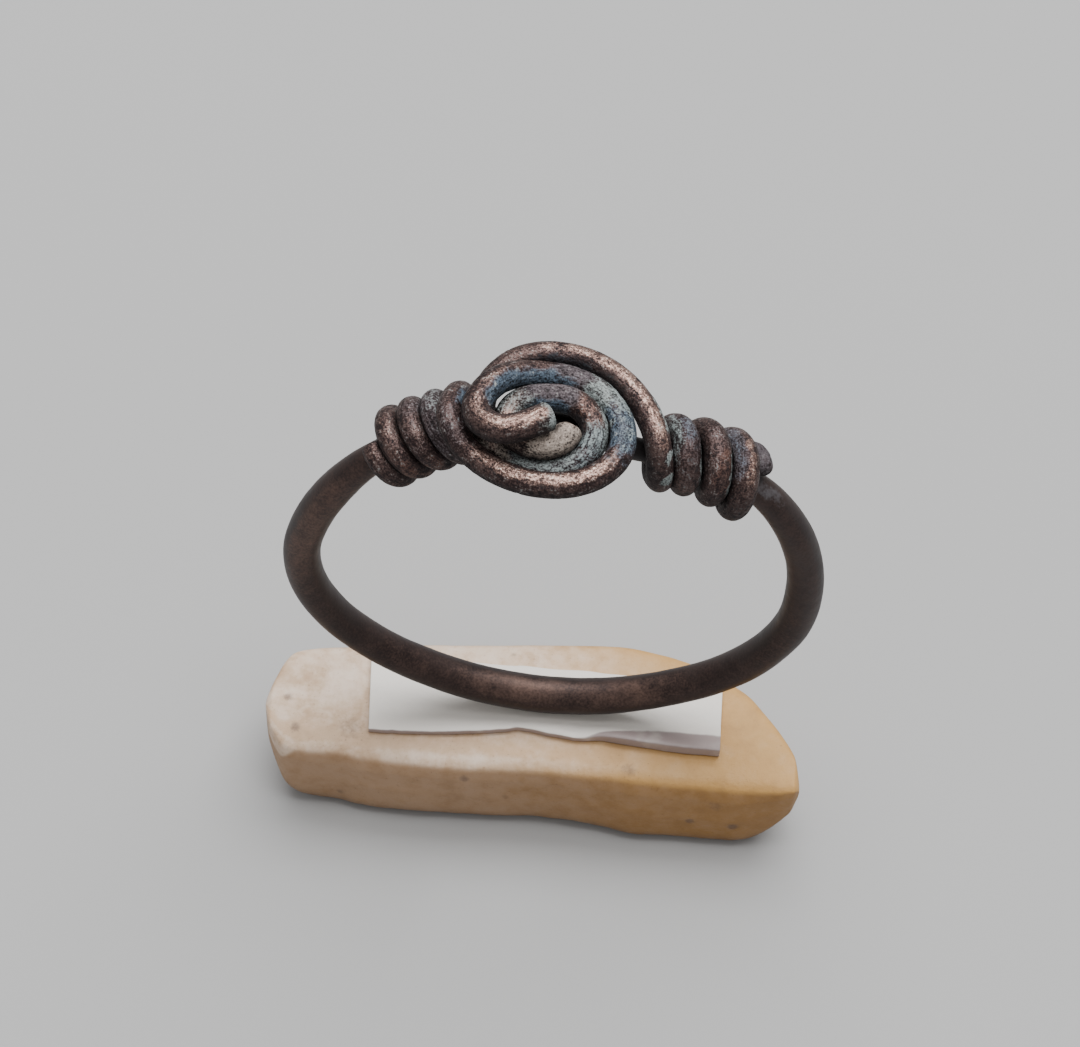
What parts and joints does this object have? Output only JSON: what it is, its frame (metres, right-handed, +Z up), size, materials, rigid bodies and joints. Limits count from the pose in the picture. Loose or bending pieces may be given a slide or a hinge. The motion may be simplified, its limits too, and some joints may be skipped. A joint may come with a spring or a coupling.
{
  "type": "twisted wire ring on a stone display stand",
  "caption": "Finger ring of patinated copper wire: a smooth hoop whose thin wires cross into a spiral bezel and wrap the shoulders, stuck upright on a small stone slab with tape",
  "frame": {"origin": "middle of the stone slab's flat underside, below the hoop's middle", "axes": "X along the slab and across the hoop, +Y away from the viewer along the finger hole, +Z up to the bezel"},
  "size_m": [0.0227, 0.0073, 0.0283],
  "materials": {
    "hoop_copper": "dark brown patinated copper, satin",
    "wire_copper": "brown patinated copper, worn bright on the ridges, with blue-green verdigris",
    "tape": "white, matt",
    "stone": "tan stone, matt with faint ochre stains"
  },
  "bodies": {
    "root": {"shank": "hoop_copper", "left_wire": "wire_copper", "right_wire": "wire_copper", "mounting_tape": "tape", "stone_stand": "stone"}
  },
  "joints": []
}
